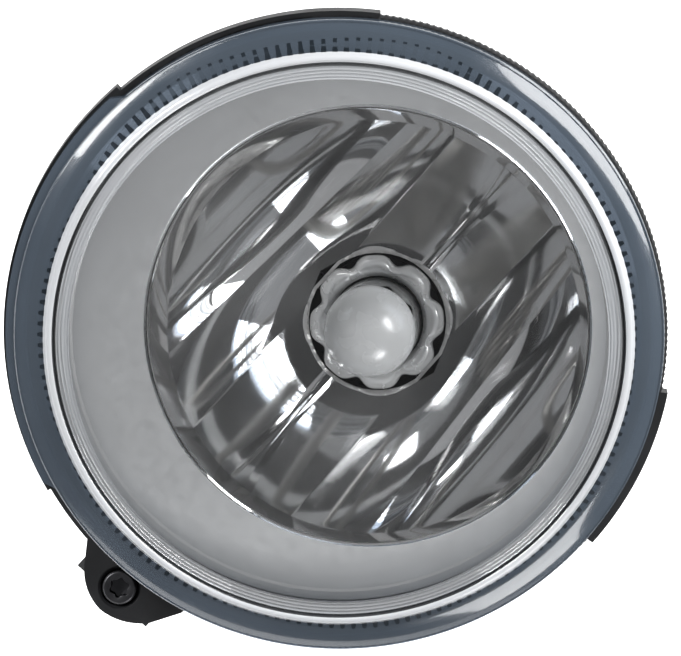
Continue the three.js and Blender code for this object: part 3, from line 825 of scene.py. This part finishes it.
def make_bulb():
    def envelope(radius, crown):
        dome = []
        for i in range(15):
            angle = math.pi / 2 * i / 14
            dome.append((radius * math.sin(angle), crown + 0.8 * radius * (1 - math.cos(angle))))
        return dome

    outer = envelope(GLASS, TIP.y)
    inner = envelope(GLASS - GLASS_WALL, TIP.y + GLASS_WALL)
    profile = outer + [(GLASS, -25)] + [(GLASS - GLASS_WALL, -25)] + inner[::-1]
    glass = lathe("bulb_envelope", profile, 96)
    finish(glass, [BULB_CLEAR, TIP_COAT], "bulb", ["bulb_glass"])
    coat_slot, coat_length = 1, 6.6
    for polygon in glass.data.polygons:
        centre = polygon.center / MM
        if centre.y < TIP.y + coat_length:
            polygon.material_index = coat_slot

    def petals(angle, radius, y):
        lobe = 0.5 + 0.5 * math.cos(NECK_PETALS * angle)
        reach = max(0.0, (radius - 6.9) / 2.4)
        return radius - 1.0 * reach * (1 - lobe) ** 3, y - 0.5 * reach * lobe

    crown = [(6.65, -29.2), (7.2, -30.0), (8.0, -30.4), (8.8, -30.2), (9.4, -29.6), (9.65, -28.6)]
    crown += [(9.5, -27.2), (7.7, -26.4), (7.7, -24.7), (7.4, -24.6), (6.65, -24.6)]
    ferrule = lathe("bulb_crown", crown, 192, wobble=petals)
    finish(ferrule, FERRULE, "bulb", ["bulb_ferrule"], sharp=50)

    body = lathe("bulb_socket", rod_profile(9.2, -24.2, -7), 96)
    tabs = []
    for angle in TABS:
        tabs.append(sector("tab", 8.2, 11.8, angle - TAB_REACH, angle + TAB_REACH,
                           SEAT[0] - 2.4, SEAT[0] - 0.3, Matrix()))
    flange = lathe("flange", rod_profile(15.5, -9.4, -5.3), 128)
    barrel = lathe("barrel", rod_profile(12.2, -5.5, 6.5), 96)
    shroud = block("shroud", (-10.5, 10.5), (-5.5, 8.5), (-24.6, -4))
    latch = block("latch", (-3.2, 3.2), (8, 10.1), (-20.5, -17.5))
    fused(body, *tabs, flange, barrel, shroud, latch)
    hollow = block("hollow", (-8.8, 8.8), (-3.8, 6.8), (-25.6, -9.5))
    notches = []
    for k in range(12):
        x, z = polar(16.1, 30 * k + 15)
        if z > -9:
            notches.append(lathe("notch", rod_profile(1.5, -10, -4), 24, at(x, 0, z)))
    carved(body, hollow, *notches)
    finish(body, BULB_BLACK, "bulb", ["bulb_base"], bevel=0.3)

    ridges = [(13.6, -12.2), (13.2, -11.5), (13.6, -10.9), (13.2, -10.3), (13.6, -9.7)]
    seal = lathe("bulb_seal", [(10.0, -12.2)] + ridges + [(10.0, -9.7)], 96)
    finish(seal, RUBBER, "bulb", ["base_seal"], bevel=0.12)

    coil = []
    turns, coil_radius, coil_start, coil_length = 9, 0.62, -41.3, 4.6
    for i in range(turns * 16 + 1):
        angle = TAU * i / 16
        along = coil_start + coil_length * i / (turns * 16)
        coil.append((coil_radius * math.cos(angle), along, coil_radius * math.sin(angle)))
    finish(tube("coil", coil, 0.17, 8), TUNGSTEN, "bulb", ["filament"])
    short = [(1.9, -24.6, 0), (1.9, -33, 0), (1.5, -34.6, 0), (0.6, -35.8, 0), (0.1, -36.5, 0)]
    finish(tube("lead_short", short, 0.3, 10), TUNGSTEN, "bulb",
           ["filament_lead_short"])
    long = [(-2.4, -24.6, 0), (-2.4, -40, 0), (-2.2, -42.6, 0), (-1.6, -43.6, 0),
            (-0.5, -43.5, 0), (0, -41.6, 0)]
    finish(tube("lead_long", long, 0.3, 10), TUNGSTEN, "bulb", ["filament_lead_long"])
    for side, sign in (("left", -1), ("right", 1)):
        x = 4 * sign
        outline = [(x - 1.4, -9.8), (x - 1.4, -20.9), (x - 0.8, -21.5), (x + 0.8, -21.5),
                   (x + 1.4, -20.9), (x + 1.4, -9.8)]
        blade = prism("blade_" + side, outline, 2.2, 3.0)
        finish(blade, BRASS, "bulb", ["terminal_" + side], bevel=0.12)


def tube(name, points, radius, sides):
    """Round wire along points, as a mesh."""
    path = [Vector(p) for p in points]
    verts, faces = [], []
    previous = Vector((0, 0, 1))
    for i, point in enumerate(path):
        ahead = path[min(i + 1, len(path) - 1)] - path[max(i - 1, 0)]
        ahead.normalize()
        side = (previous - ahead * previous.dot(ahead)).normalized()
        other = ahead.cross(side)
        previous = side
        for k in range(sides):
            angle = TAU * k / sides
            out = side * radius * math.cos(angle), other * radius * math.sin(angle)
            verts.append(tuple(point + out[0] + out[1]))
    for i in range(len(path) - 1):
        here, ahead = i * sides, (i + 1) * sides
        for k in range(sides):
            after = (k + 1) % sides
            faces.append((here + k, here + after, ahead + after, ahead + k))
    faces.append(tuple(range(sides)))
    faces.append(tuple(range((len(path) - 1) * sides, len(path) * sides)))
    return obj_from(name, verts, faces)


# ------------------------------------------------------------------ bracket and hardware

PADS = {"top": 90, "left": 210, "right": 330}
PAD_CIRCLE = 34.2
ARM = (37.2, 41.8)         # inner and outer face of the side arms


def make_bracket():
    plate = lathe("rear_bracket", ring_profile(32.5, 39.5, -4, 0), 128)
    adds, cuts = [], []
    for angle in PADS.values():
        x, z = polar(PAD_CIRCLE, angle)
        adds.append(lathe("pad", rod_profile(6, -9, 0), 64, at(x, 0, z)))
        cuts.append(lathe("hole", rod_profile(4.6, -10, 1), 64, at(x, 0, z)))
    for side in (-1, 1):
        outline = [(0, -7), (0, 7)] + arc(TILT_Y, 0, 7, 90, 270, 28)
        adds.append(prism("arm", outline, *sorted((side * ARM[0], side * ARM[1])), axis="x"))
        place = along_x(0, TILT_Y, 0, side)
        cuts.append(lathe("eye", rod_profile(4.2, ARM[0] - 1, ARM[1] + 1), 48, place))
    def across(half):
        return SCREW.x - half, SCREW.x + half

    def along(half):
        return TILT_Y - half, TILT_Y + half

    front, rear = along(6.4)
    side_view = [(0, -36), (-4, -36), (-4, -44), (front, -44), (front, -54.5), (rear, -54.5),
                 (rear, -47.5), (0, -47.5)]
    adds.append(prism("lower_arm", side_view, *across(6.6), axis="x"))
    fused(plate, *adds)
    cuts.append(block("pocket", across(3.9), along(4.5), (-58, -46.2)))
    cuts.append(block("slot", across(2.7), along(10), (-58, -47)))
    carved(plate, *cuts)
    finish(plate, BRACKET, "bracket", ["mounting_bracket"],
           bevel=0.4, segments=3)
    for side, angle in PADS.items():
        x, z = polar(PAD_CIRCLE, angle)
        sleeve = lathe("sleeve_" + side, ring_profile(3.25, 4.3, -9, 0), 64, at(x, 0, z))
        finish(sleeve, STEEL, "bracket", ["bolt_sleeve_" + side], bevel=0.15)


def make_pivots():
    for side, sign in (("left", -1), ("right", 1)):
        place = along_x(0, TILT_Y, 0, sign)
        bush = lathe("bush_" + side, ring_profile(2.7, 3.9, *ARM), 64, place)
        finish(bush, NYLON, "bracket", ["pivot_bush_" + side], bevel=0.15)
        head = ARM[1] + 0.3
        pin = lathe("pin_" + side, [
            (0, 31.5), (2.1, 31.5), (2.4, 31.9), (2.4, head), (4.4, head), (4.6, head + 0.2),
            (4.6, head + 0.9), (4.2, head + 1.4), (3.0, head + 1.8), (1.2, head + 1.9),
            (0, head + 1.9)], 64, place)
        finish(pin, STEEL, "lamp", ["pivot_pin_" + side], bevel=0.06)


def star(radius, depth, lobes, steps=72):
    """Outline with rounded lobes, for the screw's drive."""
    points = []
    for i in range(steps):
        angle = TAU * i / steps
        reach = radius * (1 - depth * (0.5 - 0.5 * math.cos(lobes * angle)))
        points.append((reach * math.cos(angle), reach * math.sin(angle)))
    return points


def make_small_parts():
    for k, angle in enumerate(POSTS, 1):
        x, z = polar(POST_CIRCLE, angle)
        place = LENS @ at(x, 0, z)
        screw = lathe("reflector_fixing_%d" % k, [
            (0, 8), (0.7, 8), (1, 8.6), (1, 14.3), (2.6, 14.3), (2.6, 15.2), (2.2, 15.8),
            (1.4, 16.2), (0, 16.2)], 48, place)
        wide, narrow, deep = (-1.3, 1.3), (-0.28, 0.28), (15.2, 17)
        carved(screw, block("drive", wide, deep, narrow, place),
               block("drive", narrow, deep, wide, place))
        finish(screw, STEEL, "lamp", ["reflector_screw_%d" % k], bevel=0.06)

    place = at(VENT.x, 0, VENT.z)
    cap = lathe("breather_cap", [
        (3.7, -23), (4.9, -23), (5.1, -22.7), (5.1, -22), (4.8, -21.7), (5.1, -21.4), (5.1, -17),
        (4.3, -16), (1.6, -16), (1.2, -16.3), (1.2, -17.7), (3.7, -17.7)], 64, place)
    finish(cap, RUBBER, "lamp", ["vent_cap"], bevel=0.1)

    place = at(SCREW.x, 0, SCREW.z)
    washer = ring_profile(2.3, 3.8, LUG_REAR + 0.3, LUG_REAR + 1.3)
    clip = lathe("retaining_clip", washer, 64, place)
    gaps = []
    for k in range(6):
        turned = place @ Matrix.Rotation(TAU * k / 6, 4, "Y")
        gaps.append(block("gap", (2.0, 3.1), (LUG_REAR - 1, LUG_REAR + 2), (-0.25, 0.25), turned))
    carved(clip, *gaps)
    finish(clip, STEEL, "lamp", ["adjuster_clip"], bevel=0.05)

    profile = [(0, -47.2), (2.15, -47.2), (2.4, -46.95), (2.4, -44.8), (1.9, -44.6), (1.9, -39)]
    pitch, root, crest = 2.0, 1.62, 2.0
    y = -38.6
    while y < -17.6:
        profile += [(root, y), (root, y + 0.35), (crest, y + 0.9), (crest, y + 1.2),
                    (root, y + pitch - 0.25)]
        y += pitch
    profile += [(1.4, -17), (0, -17)]

    screw = lathe("aiming_screw", profile, 72, place)
    socket = prism("socket", star(1.45, 0.2, 6), -48, -45.4, "y", place)
    carved(screw, socket)
    finish(screw, BLACK_STEEL, "aiming_screw", ["adjuster_screw"],
           bevel=0.05, sharp=30)

    nut_place = at(NUT.x, NUT.y, NUT.z)
    turn = [math.pi * i / 24 for i in range(25)]
    globe = [(0, -4.2)] + [(4.2 * math.sin(a), -4.2 * math.cos(a)) for a in turn[1:-1]]
    ball = lathe("aiming_nut", globe + [(0, 4.2)], 64, nut_place)
    cheeks = block("cheeks", (-3.6, 3.6), (-4.2, 4.2), (-4.3, 4.3), nut_place)
    combined(ball, [cheeks], "INTERSECT")
    carved(ball, lathe("bore", rod_profile(2.3, -6, 6), 48, nut_place))
    finish(ball, NYLON, "aiming_nut", ["adjuster_nut"], bevel=0.12)


# ------------------------------------------------------------------ camera, light and floor

VIEW_UP = math.radians(4.4)      # the camera looks from a little above the beam axis
VIEW_ROLL = math.radians(42)     # and is rolled, so the lamp's top leans to the right
VIEW_DISTANCE = 700.0
FRAME_WIDTH = 94.1               # mm across the picture at the lens flange
CENTRE_OFFSET = (3.79, -0.75)    # mm from the picture's centre to the bulb's tip, right and up
SENSOR = 36


def camera_axes():
    forward = Vector((0, math.cos(VIEW_UP), -math.sin(VIEW_UP)))
    level_up = Vector((0, math.sin(VIEW_UP), math.cos(VIEW_UP)))
    right = Vector((1, 0, 0)) * math.cos(VIEW_ROLL) + level_up * math.sin(VIEW_ROLL)
    up = level_up * math.cos(VIEW_ROLL) - Vector((1, 0, 0)) * math.sin(VIEW_ROLL)
    return forward, right, up


FORWARD, RIGHT, UP = camera_axes()


def make_camera():
    data = bpy.data.cameras.new("camera")
    camera = bpy.data.objects.new("camera", data)
    bpy.context.scene.collection.objects.link(camera)
    aim = TIP - RIGHT * CENTRE_OFFSET[0] - UP * CENTRE_OFFSET[1]
    turn = Matrix((RIGHT, UP, -FORWARD)).transposed().to_4x4()
    camera.matrix_world = Matrix.Translation((aim - FORWARD * VIEW_DISTANCE) * MM) @ turn
    data.sensor_width = SENSOR
    data.lens = SENSOR * VIEW_DISTANCE / FRAME_WIDTH
    data.clip_start = 0.01
    data.clip_end = 20
    bpy.context.scene.camera = camera


def soft_light(name, right, up, towards, size, power, shape=(1, 1)):
    """Area light placed in the camera's axes, in mm from the bulb's tip, facing it."""
    data = bpy.data.lights.new(name, "AREA")
    data.shape = "RECTANGLE"
    data.size, data.size_y = size * shape[0] * MM, size * shape[1] * MM
    data.energy = power
    light = bpy.data.objects.new(name, data)
    bpy.context.scene.collection.objects.link(light)
    place = (TIP + RIGHT * right + UP * up - FORWARD * towards) * MM
    facing = (place - TIP * MM).to_track_quat("Z", "Y")
    light.matrix_world = Matrix.Translation(place) @ facing.to_matrix().to_4x4()


def make_studio():
    world = bpy.data.worlds.new("studio")
    bpy.context.scene.world = world
    world.use_nodes = True
    background = world.node_tree.nodes["Background"]
    background.inputs["Color"].default_value = (0.97, 0.98, 1.0, 1)
    background.inputs["Strength"].default_value = 0.34
    soft_light("softbox_left", -560, 330, 380, 360, 9)
    soft_light("softbox_right", 600, 300, 330, 700, 20)
    soft_light("softbox_low", 300, -700, 300, 380, 4, (1.3, 0.7))
    # floor and backdrop in one pale sweep, well behind and below the lamp
    profile = [(-150, -620), (1500, -620)]
    profile += arc(1500, -220, 400, 270, 360, 12)[1:]
    profile += [(1900, 2800)]
    verts = [(x, y, z) for x in (-3500, 3500) for y, z in profile]
    count = len(profile)
    faces = [(i, i + 1, count + i + 1, count + i) for i in range(count - 1)]
    sweep = obj_from("studio_sweep", verts, faces)
    sweep.data.shade_smooth()
    s = Shader("pale_sweep")
    tone = s.ramp(s.noise(3), [(0.3, (0.90, 0.90, 0.90)), (0.7, (0.93, 0.93, 0.93))])
    s.link(tone, s.principled.inputs["Base Color"])
    s.set(Roughness=0.9, Emission_Color=(1, 1, 1, 1), Emission_Strength=0.95)
    sweep.data.materials.append(s.material)
    bpy.context.scene.view_settings.view_transform = "Standard"


make_camera()
make_studio()
make_lens()
make_serration()
make_lens_seal()
make_housing()
make_bulb()
make_bracket()
make_pivots()
make_small_parts()
make_reflector()
